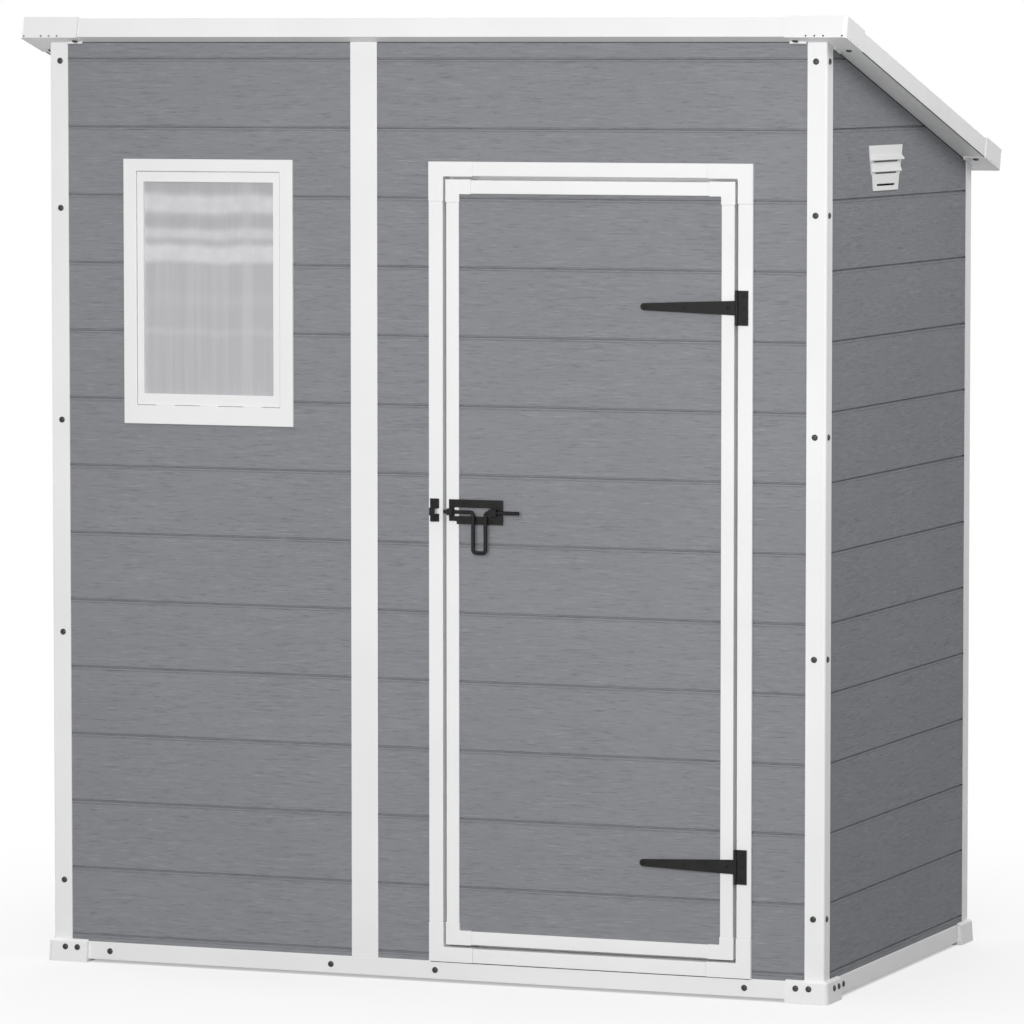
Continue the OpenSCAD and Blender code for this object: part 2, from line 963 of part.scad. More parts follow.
module roof_corner_caps() {
    color("#f0f0f0")
        at_roof()
            for (side = [-1, 1])
                for (end = [-1, 1])
                    at_roof_corner(side, end)
                        corner_cap(end < 0 ? front_overhang : rear_overhang);
}

// Low rib that runs down the slope of a roof panel
module roof_rib(x) {
    foot = roof_rib_w / 2;
    crown = roof_rib_crown / 2;
    translate([x, roof_len - roof_rib_inset, panel_seat + roof_panel_t])
        rotate([90, 0, 0])
            linear_extrude(roof_len - 2 * roof_rib_inset)
                polygon([
                    [-foot, -1],
                    [foot, -1],
                    [foot, 0],
                    [crown, roof_rib_h],
                    [-crown, roof_rib_h],
                    [-foot, 0]
                ]);
}

// Ribbed roof panel held in the trims, from the roof edge to the joiner
module roof_half() {
    edge = cap_proud + trim_wall + fit;
    for (k = [0 : roof_rib_count - 1])
        roof_rib(-roof_rib_first - k * roof_rib_pitch);
    difference() {
        box(
            -roof_w / 2 + edge, -strip_web / 2 - fit, edge, roof_len - edge,
            panel_seat, panel_seat + roof_panel_t
        );
        roof_panel_corner(0);
        roof_panel_corner(1);
    }
}

// Space the rounded cap takes from a corner of the roof panel
module roof_panel_corner(end) {
    size = cap_round + trim_wall;
    translate([-roof_w / 2, end * roof_len, panel_seat - 1])
        mirror([0, end, 0])
            difference() {
                cube([size, size, roof_panel_t + 2]);
                translate([size, size, -1])
                    cylinder(r = size - trim_wall - fit, h = roof_panel_t + 4);
            }
}

module roof_panel_left() {
    color("#86878b")
        at_roof()
            roof_half();
}

module roof_panel_right() {
    color("#86878b")
        at_roof()
            mirror([1, 0, 0])
                roof_half();
}

// H strip between the two roof panels
module roof_joiner() {
    y0 = trim_lip + fit;
    len = roof_len - 2 * y0;
    panel_top = panel_seat + roof_panel_t;
    color("#f0f0f0")
        at_roof()
            translate([0, y0, 0]) {
                translate([-strip_w / 2, 0, panel_seat - strip_proud])
                    cube([strip_w, len, strip_proud]);
                translate([-strip_web / 2, 0, panel_seat - 1])
                    cube([strip_web, len, roof_panel_t + 2]);
                translate([-strip_w / 2, 0, panel_top])
                    cube([strip_w, len, strip_proud]);
            }
}

// Window

// Opening of the frame, or outline of the sash, drawn in by an inset between two depths
module sash_box(inset, y0, y1) {
    half = sash_w / 2 - inset;
    box(window_x - half, window_x + half, y0, y1, sash_z + inset, sash_z + sash_h - inset);
}

module window_frame() {
    color("#eeeeee")
        at_front()
            difference() {
                union() {
                    box(window_x0, window_x0 + window_w, -window_proud, 0, window_z, window_z1);
                    box(
                        window_x0 + frame_cover + fit, window_x0 + window_w - frame_cover - fit, -1, wall_t,
                        window_z + frame_cover + fit, window_z1 - frame_cover - fit
                    );
                }
                sash_box(-sash_gap, -window_proud - 1, sash_y + sash_lap_t + fit);
                sash_box(sash_lap_w - sash_gap, -window_proud - 1, wall_t + 1);
            }
}

// Sash that laps over the frame, with a groove for the pane and three clips to stand on
module window_sash() {
    back = wall_t - sash_set_in;
    color("#eeeeee")
        at_front() {
            difference() {
                union() {
                    sash_box(0, sash_y, sash_y + sash_lap_t);
                    sash_box(sash_lap_w, sash_y, back);
                }
                box(
                    window_x - pane_w / 2, window_x + pane_w / 2, sash_y - 1, back + 1,
                    pane_z, pane_z + pane_h
                );
                box(
                    window_x - pane_w / 2 - pane_groove, window_x + pane_w / 2 + pane_groove,
                    pane_y, pane_y + pane_t + fit,
                    pane_z - pane_groove, pane_z + pane_h + pane_groove
                );
            }
            for (k = [-1 : 1])
                translate([window_x + k * clip_pitch - clip_w / 2, sash_y + clip_set_in, sash_z - sash_gap])
                    cube([clip_w, sash_lap_t - clip_set_in, sash_gap + 1]);
        }
}

module window_pane() {
    edge = pane_groove - fit;
    color("#c8ccd2", 0.6)
        at_front()
            box(
                window_x - pane_w / 2 - edge, window_x + pane_w / 2 + edge, pane_y, pane_y + pane_t,
                pane_z - pane_groove, pane_z + pane_h + edge
            );
}

// Vents

// One tier: a tapered plate with a slot, and a hood across the plate where it has one
module vent_tier(top_w, z, h, slot, hood) {
    foot_w = top_w - 2 * h * tan(vent_lean);
    slot_half = foot_w / 2 - vent_slot_inset;
    slot_z = z + slot;
    slot_top = slot_z + vent_slot_h;
    difference() {
        rotate([90, 0, 0])
            linear_extrude(vent_t)
                polygon([[-foot_w / 2, z], [foot_w / 2, z], [top_w / 2, z + h], [-top_w / 2, z + h]]);
        box(-slot_half, slot_half, -vent_t - 1, 1, slot_z, slot_top);
    }
    if (hood > 0)
        along_x(-foot_w / 2, foot_w / 2)
            polygon([
                [1 - vent_t, slot_top],
                [-vent_t - hood, slot_top],
                [-vent_t - hood, slot_top + vent_hood_t],
                [-vent_t, slot_top + vent_hood_h],
                [1 - vent_t, slot_top + vent_hood_h]
            ]);
}

// Three tiers that get narrower and flatter downwards
module vent() {
    mid_w = vent_top_w - 2 * (vent_top_h * tan(vent_lean) + vent_ledge);
    low_w = mid_w - 2 * (vent_mid_h * tan(vent_lean) + vent_ledge);
    vent_tier(vent_top_w, vent_z + vent_low_h + vent_mid_h, vent_top_h, vent_top_slot, vent_top_hood);
    vent_tier(mid_w, vent_z + vent_low_h, vent_mid_h, vent_mid_slot, vent_mid_hood);
    vent_tier(low_w, vent_z, vent_low_h, vent_low_slot, 0);
}

module wall_vents() {
    color("#f0f0f0") {
        at_left()
            translate([shed_d / 2 - vent_setback, 0, 0])
                vent();
        at_right()
            translate([vent_setback - shed_d / 2, 0, 0])
                vent();
    }
}

// Door frame

// Whole frame with the stop behind the door; grow thickens the face and the inner edge
module door_frame_ring(grow) {
    in_x = jamb_face + grow;
    in_z = frame_face + grow;
    stop_x = jamb_face + stop_w;
    stop_z = frame_face + stop_w;
    difference() {
        union() {
            box(frame_x0, frame_x1, -frame_proud - grow, 0, frame_z0, frame_z1);
            box(cut_x0 + fit, cut_x1 - fit, -1, frame_depth, frame_z0, cut_z1 - fit);
        }
        box(frame_x0 + in_x, frame_x1 - in_x, -frame_depth, stop_y, frame_z0 + in_z, frame_z1 - in_z);
        box(
            frame_x0 + stop_x, frame_x1 - stop_x, 0, 2 * frame_depth,
            frame_z0 + stop_z, frame_z1 - stop_z
        );
    }
}

module door_frame_jambs() {
    color("#eeeeee")
        at_front()
            intersection() {
                door_frame_ring(0);
                union() {
                    box(
                        frame_x0, frame_x0 + frame_corner_w - 1, -frame_depth, 2 * frame_depth,
                        frame_z0 + frame_corner_h, frame_z1 - frame_corner_h
                    );
                    box(
                        frame_x1 - frame_corner_w + 1, frame_x1, -frame_depth, 2 * frame_depth,
                        frame_z0 + frame_corner_h, frame_z1 - frame_corner_h
                    );
                }
            }
}

// Straight length of frame between two corner pieces
module door_frame_bar(z0, z1) {
    intersection() {
        door_frame_ring(0);
        box(frame_x0 + frame_corner_w, frame_x1 - frame_corner_w, -frame_depth, 2 * frame_depth, z0, z1);
    }
}

module door_frame_head() {
    color("#eeeeee")
        at_front()
            door_frame_bar(frame_z1 - frame_corner_h, frame_z1);
}

module door_frame_sill() {
    color("#eeeeee")
        at_front()
            door_frame_bar(frame_z0, frame_z0 + frame_corner_h);
}

module door_frame_corners() {
    color("#eeeeee")
        at_front()
            intersection() {
                door_frame_ring(corner_proud);
                union()
                    for (x = [frame_x0, frame_x1 - frame_corner_w])
                        for (z = [frame_z0, frame_z1 - frame_corner_h])
                            translate([x, -frame_depth, z])
                                cube([frame_corner_w, 3 * frame_depth, frame_corner_h]);
            }
}

// Door

// Whole door surround with the groove for the panel; grow thickens it on every visible side
module door_ring(out, grow) {
    face = door_face - grow;
    in = stile_w + grow;
    groove = stile_w - door_groove;
    difference() {
        box(door_x0 - out, door_x1 + out, face, door_face + door_t, door_z0 - out, door_z1 + out);
        box(door_x0 + in, door_x1 - in, face - 1, door_face + door_t + 1, door_z0 + in, door_z1 - in);
        box(
            door_x0 + groove, door_x1 - groove, door_panel_y - fit, door_panel_y + door_panel_t + fit,
            door_z0 + groove, door_z1 - groove
        );
    }
}

module door_stiles() {
    color("#eeeeee")
        at_front()
            intersection() {
                door_ring(0, 0);
                union()
                    for (x = [door_x0, door_x1 - stile_w])
                        translate([x, door_face, door_z0 + door_corner_h])
                            cube([stile_w, door_t, door_z1 - door_z0 - 2 * door_corner_h]);
            }
}

module door_rails() {
    color("#eeeeee")
        at_front()
            intersection() {
                door_ring(0, 0);
                union()
                    for (z = [door_z0, door_z1 - stile_w])
                        translate([door_x0 + door_corner_w, door_face, z])
                            cube([door_x1 - door_x0 - 2 * door_corner_w, door_t, stile_w]);
            }
}

module door_corners() {
    out = door_corner_grow;
    color("#eeeeee")
        at_front()
            intersection() {
                door_ring(out, corner_proud);
                union()
                    for (x = [door_x0 - out, door_x1 - door_corner_w])
                        for (z = [door_z0 - out, door_z1 - door_corner_h])
                            translate([x, door_face - corner_proud, z])
                                cube([door_corner_w + out, door_t + corner_proud, door_corner_h + out]);
            }
}

module door_panel() {
    edge = stile_w - door_groove + fit;
    color("#8a8b8f")
        at_front()
            translate([0, door_panel_y, 0])
                along_x(door_x0 + edge, door_x1 - edge)
                    lap_drawing(door_panel_t, door_z0 + edge, door_z1 - edge);
}

// Hinges

// Cylinder on the pin axis between two heights
module on_pin(r, z0, z1) {
    translate([hinge_x, hinge_y, z0])
        cylinder(r = r, h = z1 - z0);
}

// Leaf on the jamb with its two knuckles and the pin
module hinge_leaf(z) {
    clear = strap_root_h / 2 + rod_fit;
    top = leaf_h / 2;
    translate([0, 0, z]) {
        difference() {
            union() {
                box(hinge_x, hinge_x + leaf_w, door_face - hinge_t, door_face, -top, top);
                on_pin(knuckle_r, -top, top);
            }
            box(
                hinge_x - 2 * knuckle_r, hinge_x + knuckle_r + knuckle_gap,
                hinge_y - 2 * knuckle_r, door_face + 1, -clear, clear
            );
        }
        on_pin(pin_r, -top, top);
    }
}

module hinge_leaves() {
    color("#2c2c2c")
        at_front() {
            hinge_leaf(hinge_upper_z);
            hinge_leaf(hinge_lower_z);
        }
}

// Drawing of the tapered strap with a round tip, pin at the origin
module strap_outline() {
    tip_r = strap_tip_h / 2;
    tip_x = -strap_len + tip_r;
    polygon([
        [0, -strap_root_h / 2],
        [0, strap_root_h / 2],
        [tip_x, tip_r],
        [tip_x, -tip_r]
    ]);
    translate([tip_x, 0])
        circle(tip_r);
}

module hinge_strap(z) {
    half_h = strap_root_h / 2;
    translate([0, 0, z])
        difference() {
            union() {
                translate([hinge_x, door_face, 0])
                    rotate([90, 0, 0])
                        linear_extrude(hinge_t)
                            strap_outline();
                on_pin(knuckle_r, -half_h, half_h);
            }
            on_pin(pin_r + rod_fit, -half_h - 1, half_h + 1);
        }
}

module hinge_straps() {
    color("#2c2c2c")
        at_front() {
            hinge_strap(hinge_upper_z);
            hinge_strap(hinge_lower_z);
        }
}

// Latch

// Bent strap over the bolt, open towards the plate
module bolt_guide(x0, x1, play) {
    in = bolt_r + play;
    out = in + guide_wall;
    difference() {
        box(x0, x1, bolt_y - out, plate_face, bolt_z - out, bolt_z + out);
        bolt_passage(x0, x1, play);
    }
}

// Space a guide leaves for the bolt, through the plate behind it
module bolt_passage(x0, x1, play) {
    in = bolt_r + play;
    box(x0 - 1, x1 + 1, bolt_y - in, door_face + 1, bolt_z - in, bolt_z + in);
}

// Plate with a window beside the handle, a notched lower edge and a guide at each end
module latch_plate() {
    low = bolt_z - latch_plate_h / 2;
    color("#2c2c2c")
        at_front() {
            difference() {
                box(plate_x0, plate_x1, plate_face, door_face, low, bolt_z + latch_plate_h / 2);
                box(
                    plate_x0 + guide_w, tail_guide_x, plate_face - 1, door_face + 1,
                    bolt_z - latch_slot_h / 2, bolt_z + latch_slot_h / 2
                );
                box(
                    plate_x0 - 1, plate_x0 + latch_notch_w, plate_face - 1, door_face + 1,
                    low - 1, low + latch_notch_h
                );
            }
            bolt_guide(plate_x0, plate_x0 + guide_w, rod_fit);
            bolt_guide(tail_guide_x, tail_guide_end, rod_fit);
        }
}

// Two screw ears joined by the strap that takes the bolt
module latch_keeper() {
    x1 = keeper_x0 + keeper_w;
    x_mid = keeper_x0 + keeper_w / 2;
    z_mid = bolt_z + keeper_lift;
    color("#2c2c2c")
        at_front() {
            difference() {
                box(
                    keeper_x0, x1, plate_face, door_face,
                    z_mid - keeper_h / 2, z_mid + keeper_h / 2
                );
                bolt_passage(keeper_x0, x1, keeper_play);
            }
            bolt_guide(x_mid - guide_w / 2, x_mid + guide_w / 2, keeper_play);
        }
}

// Quarter bend of the rod about the origin of its own frame
module rod_bend() {
    rotate_extrude(angle = 90)
        translate([handle_bend, 0])
            circle(bolt_r);
}

// Straight rod from a place, along x or down
module rod_x(x0, x1, z) {
    translate([x0, 0, z])
        rotate([0, 90, 0])
            cylinder(r = bolt_r, h = x1 - x0);
}

module rod_z(x, z0, z1) {
    translate([x, 0, z0])
        cylinder(r = bolt_r, h = z1 - z0);
}

// One bent rod: tip, dropped handle and tail
module latch_bolt() {
    leg_0 = handle_start;
    leg_1 = handle_start + handle_w;
    b = handle_bend;
    low = b - handle_drop;
    color("#2c2c2c")
        at_front()
            translate([bolt_tip, bolt_y, bolt_z]) {
                rod_x(0, leg_0 - b, 0);
                translate([leg_0 - b, 0, -b])
                    rotate([90, 0, 0])
                        rod_bend();
                rod_z(leg_0, low, -b);
                translate([leg_0 + b, 0, low])
                    rotate([90, 180, 0])
                        rod_bend();
                rod_x(leg_0 + b, leg_1 - b, -handle_drop);
                translate([leg_1 - b, 0, low])
                    rotate([90, 90, 0])
                        rod_bend();
                rod_z(leg_1, low, -b);
                translate([leg_1 + b, 0, -b])
                    rotate([90, -90, 0])
                        rod_bend();
                rod_x(leg_1 + b, bolt_len, 0);
            }
}

base_rail_front();
base_rail_rear();
base_rail_left();
base_rail_right();
corner_feet();
floor_panel();
corner_post_front_left();
corner_post_front_right();
corner_post_rear_left();
corner_post_rear_right();
joiner_strip_front();
joiner_strip_rear();
front_wall_window_panel();
front_wall_left_of_door();
front_wall_right_of_door();
front_wall_over_door();
side_wall_left();
side_wall_right();
rear_wall_left();
rear_wall_right();
roof_panel_left();
roof_panel_right();
roof_joiner();
roof_trim_front();
roof_trim_rear();
roof_trim_left();
roof_trim_right();
roof_corner_caps();
window_frame();
window_sash();
window_pane();
wall_vents();
door_frame_jambs();
door_frame_head();
door_frame_sill();
door_frame_corners();
hinge_leaves();
latch_keeper();
door_panel();
door_stiles();
door_rails();
door_corners();
hinge_straps();
latch_plate();
latch_bolt();
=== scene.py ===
import json
import math
import random

import bmesh
import bpy
from mathutils import Matrix, Vector
from mathutils.bvhtree import BVHTree


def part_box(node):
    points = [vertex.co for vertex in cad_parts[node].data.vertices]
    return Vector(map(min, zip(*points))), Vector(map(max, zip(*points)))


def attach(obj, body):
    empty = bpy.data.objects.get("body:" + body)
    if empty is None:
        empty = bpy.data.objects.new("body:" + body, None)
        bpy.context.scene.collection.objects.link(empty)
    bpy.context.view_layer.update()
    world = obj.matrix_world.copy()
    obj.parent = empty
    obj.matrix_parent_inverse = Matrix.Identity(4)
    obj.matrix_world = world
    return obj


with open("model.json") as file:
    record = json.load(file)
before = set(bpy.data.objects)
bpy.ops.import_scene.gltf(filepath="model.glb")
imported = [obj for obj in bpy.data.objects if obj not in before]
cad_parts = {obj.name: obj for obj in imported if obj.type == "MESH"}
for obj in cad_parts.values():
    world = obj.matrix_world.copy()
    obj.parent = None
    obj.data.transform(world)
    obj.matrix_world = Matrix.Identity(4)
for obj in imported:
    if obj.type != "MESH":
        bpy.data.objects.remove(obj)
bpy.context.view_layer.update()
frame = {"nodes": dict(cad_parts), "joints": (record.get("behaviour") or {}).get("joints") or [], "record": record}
nodes = frame["nodes"]
scene = bpy.context.scene
MM = 0.001

# Camera at the photograph's viewing angle: metres, radians, and the lens and sensor in mm
CAMERA_PLACE = (4.86934, -12.49711, 1.94923)
CAMERA_YAW = 0.372446
CAMERA_PITCH = 0.0746924
CAMERA_LENS = 220.317
CAMERA_SENSOR = 36
CAMERA_REACH = 100

# Wall faces, read from the solids
HALF_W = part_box("side_wall_right")[1].x
FRONT_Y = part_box("front_wall_window_panel")[0].y
REAR_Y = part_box("rear_wall_left")[1].y
# The face of each end with its outward direction along y, and the direction of each side along x
ENDS = {"front": (FRONT_Y, -1), "rear": (REAR_Y, 1)}
SIDES = {"left": -1, "right": 1}

# Places that the solids also use, in metres
ROOF_PITCH = math.radians(-15)
ROOF_TOP = 2.004
ROOF_EDGE = 0.043
ROOF_OVERHANG = 0.041
ROOF_ORIGIN = Vector((0, FRONT_Y - ROOF_OVERHANG, ROOF_TOP - ROOF_EDGE * math.cos(ROOF_PITCH)))
HINGE_X = next(joint["pos_m"][0] for joint in frame["joints"] if joint["name"] == "door_hinge")
HINGE_HEIGHTS = (1.4135, 0.273)
BOLT_Z = 0.9835
KEEPER_Z = BOLT_Z + 0.002


class Wiring:
    """The emptied node tree of a material or world, and the few calls that wire it."""

    SURFACE_INPUTS = {
        "color": "Base Color",
        "rough": "Roughness",
        "normal": "Normal",
        "specular": "Specular IOR Level",
        "transmission": "Transmission Weight",
        "ior": "IOR",
    }

    def __init__(self, owner, output):
        owner.use_nodes = True
        self.owner = owner
        self.tree = owner.node_tree
        self.tree.nodes.clear()
        self.out = self.add(output)

    def add(self, kind, inputs=None, **settings):
        made = self.tree.nodes.new(kind)
        for key, value in settings.items():
            setattr(made, key, value)
        for key, value in (inputs or {}).items():
            self.put(made.inputs[key], value)
        return made

    def put(self, socket, value):
        """Links a socket to another node's output, or sets its own value."""
        if isinstance(value, bpy.types.NodeSocket):
            self.tree.links.new(value, socket)
        else:
            socket.default_value = value

    def math(self, operation, a, b=0.0):
        return self.add("ShaderNodeMath", {0: a, 1: b}, operation=operation).outputs[0]

    def plus(self, a, b):
        return self.math("ADD", a, b)

    def minus(self, a, b):
        return self.math("SUBTRACT", a, b)

    def times(self, a, b):
        return self.math("MULTIPLY", a, b)

    def larger(self, a, b):
        return self.math("MAXIMUM", a, b)

    def place(self):
        """Object coordinates, split into x, y and z."""
        coordinates = self.add("ShaderNodeTexCoord")
        split = self.add("ShaderNodeSeparateXYZ", {0: coordinates.outputs["Object"]})
        return split.outputs[0], split.outputs[1], split.outputs[2]

    def vector(self, x, y, z):
        return self.add("ShaderNodeCombineXYZ", {0: x, 1: y, 2: z}).outputs[0]

    def noise(self, where, scale=1.0, detail=2.0, rough=0.5):
        inputs = {"Vector": where, "Scale": scale, "Detail": detail, "Roughness": rough}
        return self.add("ShaderNodeTexNoise", inputs).outputs[0]

    def ramp(self, value, source, target=(0.0, 1.0)):
        """A value taken smoothly from one range onto another."""
        made = self.add(
            "ShaderNodeMapRange",
            {0: value, 1: source[0], 2: source[1], 3: target[0], 4: target[1]},
            interpolation_type="SMOOTHSTEP",
        )
        return made.outputs[0]

    def mix(self, factor, a, b):
        """A colour between a and b, by the mix node's colour sockets."""
        return self.add("ShaderNodeMix", {0: factor, 6: a, 7: b}, data_type="RGBA").outputs[2]

    def bump(self, height, strength, distance):
        inputs = {"Height": height, "Strength": strength, "Distance": distance}
        return self.add("ShaderNodeBump", inputs).outputs[0]

    def show(self, shader):
        """Sends a shader to the output, and gives back the material or world."""
        self.put(self.out.inputs[0], shader.outputs[0])
        return self.owner

    def surface(self, **inputs):
        named = {self.SURFACE_INPUTS[key]: value for key, value in inputs.items()}
        return self.show(self.add("ShaderNodeBsdfPrincipled", named))


def new_material(name):
    return Wiring(bpy.data.materials.new(name), "ShaderNodeOutputMaterial")


def rgb(r, g, b):
    return (r, g, b, 1.0)


def shade(color, factor):
    """The same colour, lighter or darker."""
    return rgb(*[part * factor for part in color[:3]])


# The range that most values of a noise lie in
MIDDLE = (0.3, 0.7)


def grained_resin(name, dark, plain, light, grain_up=False):
    """Grey resin with a moulded wood grain: fine broken streaks along the board."""
    s = new_material(name)
    x, y, z = s.place()
    if grain_up:
        along, across, depth = y, x, z
    else:
        along, across, depth = s.plus(x, y), z, s.minus(x, y)
    drift = s.noise(s.vector(s.times(along, 4.0), depth, s.times(across, 9.0)), detail=1.0)
    waved = s.plus(across, s.times(drift, 12 * MM))

    def streaks(along_scale, across_scale, detail=2.0, rough=0.5):
        where = s.vector(
            s.times(along, along_scale), s.times(depth, 3.0), s.times(waved, across_scale)
        )
        return s.noise(where, detail=detail, rough=rough)

    dashes = streaks(along_scale=24.0, across_scale=330.0, detail=3.0, rough=0.6)
    hairs = streaks(along_scale=60.0, across_scale=760.0)
    figure = streaks(along_scale=3.5, across_scale=60.0)
    grain = s.plus(s.times(dashes, 0.65), s.times(hairs, 0.35))
    pores = s.ramp(grain, (0.47, 0.34))
    ridges = s.ramp(grain, (0.53, 0.68))
    cloud = s.noise(s.vector(x, y, z), scale=2.2)
    tone = s.mix(s.ramp(figure, MIDDLE), plain, shade(plain, 1.05))
    tone = s.mix(s.ramp(cloud, MIDDLE, (0.0, 0.5)), tone, shade(plain, 0.95))
    tone = s.mix(s.times(pores, 0.64), tone, dark)
    tone = s.mix(s.times(ridges, 0.75), tone, light)
    height = s.minus(s.times(ridges, 0.5), pores)
    return s.surface(
        color=tone,
        rough=s.ramp(grain, MIDDLE, (0.82, 0.68)),
        normal=s.bump(height, strength=0.4, distance=0.5 * MM),
        specular=0.14,
    )


def white_resin():
    """Satin white trim: a faint cloud in the colour and a fine moulded skin."""
    s = new_material("white_resin")
    where = s.vector(*s.place())
    cloud = s.noise(where, scale=5.0, detail=3.0)
    skin = s.noise(where, scale=700.0)
    scuff = s.noise(where, scale=38.0, detail=4.0, rough=0.65)
    tone = s.mix(s.ramp(cloud, MIDDLE), rgb(0.828, 0.831, 0.829), rgb(0.861, 0.862, 0.861))
    tone = s.mix(s.ramp(scuff, (0.66, 0.8), (0.0, 0.35)), tone, rgb(0.76, 0.76, 0.755))
    return s.surface(
        color=tone,
        rough=s.ramp(scuff, (0.3, 0.75), (0.4, 0.52)),
        normal=s.bump(skin, strength=0.12, distance=0.2 * MM),
        specular=0.4,
    )


def black_metal(name, low, high, rough, shine):
    """Black powder coat over steel: a fine orange peel, paler where the edges rub."""
    s = new_material(name)
    where = s.vector(*s.place())
    peel = s.noise(where, scale=900.0)
    cloud = s.noise(where, scale=60.0, detail=3.0, rough=0.6)
    rounded = s.add("ShaderNodeBevel", {"Radius": 1.2 * MM}, samples=4).outputs[0]
    flat = s.add("ShaderNodeNewGeometry").outputs["Normal"]
    facing = s.add("ShaderNodeVectorMath", {0: rounded, 1: flat}, operation="DOT_PRODUCT")
    edge = s.ramp(facing.outputs["Value"], (0.995, 0.86))
    rubbed = s.times(edge, s.ramp(cloud, (0.42, 0.6), (0.1, 0.8)))
    tone = s.mix(s.ramp(cloud, MIDDLE), low, high)
    tone = s.mix(rubbed, tone, rgb(0.045, 0.045, 0.045))
    return s.surface(
        color=tone,
        rough=s.ramp(cloud, MIDDLE, rough),
        normal=s.bump(peel, strength=0.2, distance=0.2 * MM),
        specular=shine,
    )


# Bands of painted reflection in the pane, pale and dark: middle, half width and soft edge in metres, and strength
PAINTED_PALE_REFLECTIONS = (
    (1.614, 0.018, 0.008, 0.8),
    (1.5515, 0.010, 0.007, 0.6),
    (1.509, 0.018, 0.008, 0.85),
    (1.411, 0.012, 0.012, 0.12),
    (1.344, 0.006, 0.008, 0.25),
)
PAINTED_DARK_REFLECTIONS = ((1.650, 0.010, 0.006, 0.4), (1.5775, 0.010, 0.007, 0.35))
PALE_UPRIGHT = (-0.414, 0.011, 0.005, 0.3)


def frosted_pane():
    """Frosted sheet with painted reflections: pale and dark level bands near the top, and faint upright flow
    lines.
    """
    s = new_material("frosted_pane")
    x, y, z = s.place()
    sway = s.noise(s.vector(s.times(x, 9.0), 0.0, s.times(z, 3.0)))
    level = s.plus(z, s.times(s.minus(sway, 0.5), 20 * MM))
    streak = s.noise(s.vector(s.times(x, 70.0), 0.0, s.times(z, 1.6)), detail=3.0, rough=0.6)
    mottle = s.noise(s.vector(x, y, z), scale=45.0, detail=3.0)
    patch = s.ramp(mottle, MIDDLE, (0.75, 1.0))

    def band(value, middle, half, soft):
        below = s.ramp(value, (middle - half - soft, middle - half + soft))
        above = s.ramp(value, (middle + half + soft, middle + half - soft))
        return s.times(below, above)

    tone = s.mix(s.ramp(streak, (0.35, 0.68)), rgb(0.58, 0.58, 0.60), rgb(0.635, 0.635, 0.66))
    pale, dark = rgb(0.88, 0.88, 0.905), rgb(0.47, 0.47, 0.485)
    # The pale and dark level bands are painted reflections laid into the pane's colour
    for bands, color in ((PAINTED_PALE_REFLECTIONS, pale), (PAINTED_DARK_REFLECTIONS, dark)):
        for middle, half, soft, strength in bands:
            share = s.times(band(level, middle, half, soft), s.times(patch, strength))
            tone = s.mix(share, tone, color)
    middle, half, soft, strength = PALE_UPRIGHT
    upright = s.times(band(x, middle, half, soft), strength)
    tone = s.mix(upright, tone, rgb(0.72, 0.72, 0.745))
    return s.surface(
        color=tone,
        rough=s.ramp(mottle, MIDDLE, (0.3, 0.42)),
        normal=s.bump(streak, strength=0.08, distance=0.6 * MM),
        transmission=0.25,
        ior=1.5,
    )


def deck_resin():
    """Dark floor: a pebbled moulding with dusty scuffs."""
    s = new_material("deck_resin")
    where = s.vector(*s.place())
    pebble = s.add("ShaderNodeTexVoronoi", {"Vector": where, "Scale": 260.0}).outputs["Distance"]
    dust = s.noise(where, scale=7.0, detail=5.0, rough=0.62)
    tone = s.mix(s.ramp(pebble, (0.1, 0.7)), rgb(0.15, 0.152, 0.16), rgb(0.115, 0.117, 0.124))
    tone = s.mix(s.ramp(dust, (0.5, 0.75), (0.0, 0.45)), tone, rgb(0.22, 0.215, 0.205))
    return s.surface(
        color=tone,
        rough=s.ramp(dust, (0.35, 0.7), (0.5, 0.75)),
        normal=s.bump(pebble, strength=0.3, distance=0.8 * MM),
        specular=0.35,
    )


def seal_rubber():
    """Near-black material for the strips of painted shadow in joints, with a faint dusty bloom."""
    s = new_material("seal_rubber")
    bloom = s.noise(s.vector(*s.place()), scale=30.0, detail=4.0, rough=0.6)
    tone = s.mix(s.ramp(bloom, (0.35, 0.7)), rgb(0.045, 0.045, 0.047), rgb(0.085, 0.085, 0.088))
    return s.surface(color=tone, rough=s.ramp(bloom, MIDDLE, (0.62, 0.8)), specular=0.2)


GRAIN_DARK = rgb(0.170, 0.173, 0.184)
GRAIN_PLAIN = rgb(0.245, 0.249, 0.266)
WALL = grained_resin("wall_resin", GRAIN_DARK, GRAIN_PLAIN, rgb(0.316, 0.320, 0.336))
ROOF = grained_resin("roof_resin", GRAIN_DARK, GRAIN_PLAIN, rgb(0.311, 0.315, 0.329), grain_up=True)
WHITE = white_resin()
METAL = black_metal(
    "black_metal",
    low=rgb(0.008, 0.008, 0.008), high=rgb(0.0145, 0.0145, 0.014), rough=(0.42, 0.58), shine=0.17,
)
SCREW = black_metal(
    "screw_black",
    low=rgb(0.026, 0.0265, 0.027), high=rgb(0.046, 0.0465, 0.047), rough=(0.3, 0.42), shine=0.42,
)
DARK_SCREW = black_metal(
    "screw_dark",
    low=rgb(0.005, 0.0055, 0.006), high=rgb(0.010, 0.0105, 0.011), rough=(0.32, 0.46), shine=0.17,
)
PANE = frosted_pane()
DECK = deck_resin()
SHADOW_STRIP_DARK = seal_rubber()

SLOT_LOOKS = {
    "wall_resin": WALL,
    "white_resin": WHITE,
    "roof_resin": ROOF,
    "floor_resin": DECK,
    "window_pane": PANE,
    "black_metal": METAL,
}
# Edge rounding by slot, and of the nodes that differ; the lapped boards keep their moulded edges
SLOT_ROUND = {"white_resin": 1.3 * MM, "black_metal": 0.6 * MM, "roof_resin": 1.5 * MM}
NODE_ROUND = {"corner_feet": 2.2 * MM, "window_sash": 0.5 * MM, "roof_corner_caps": 1.0 * MM}
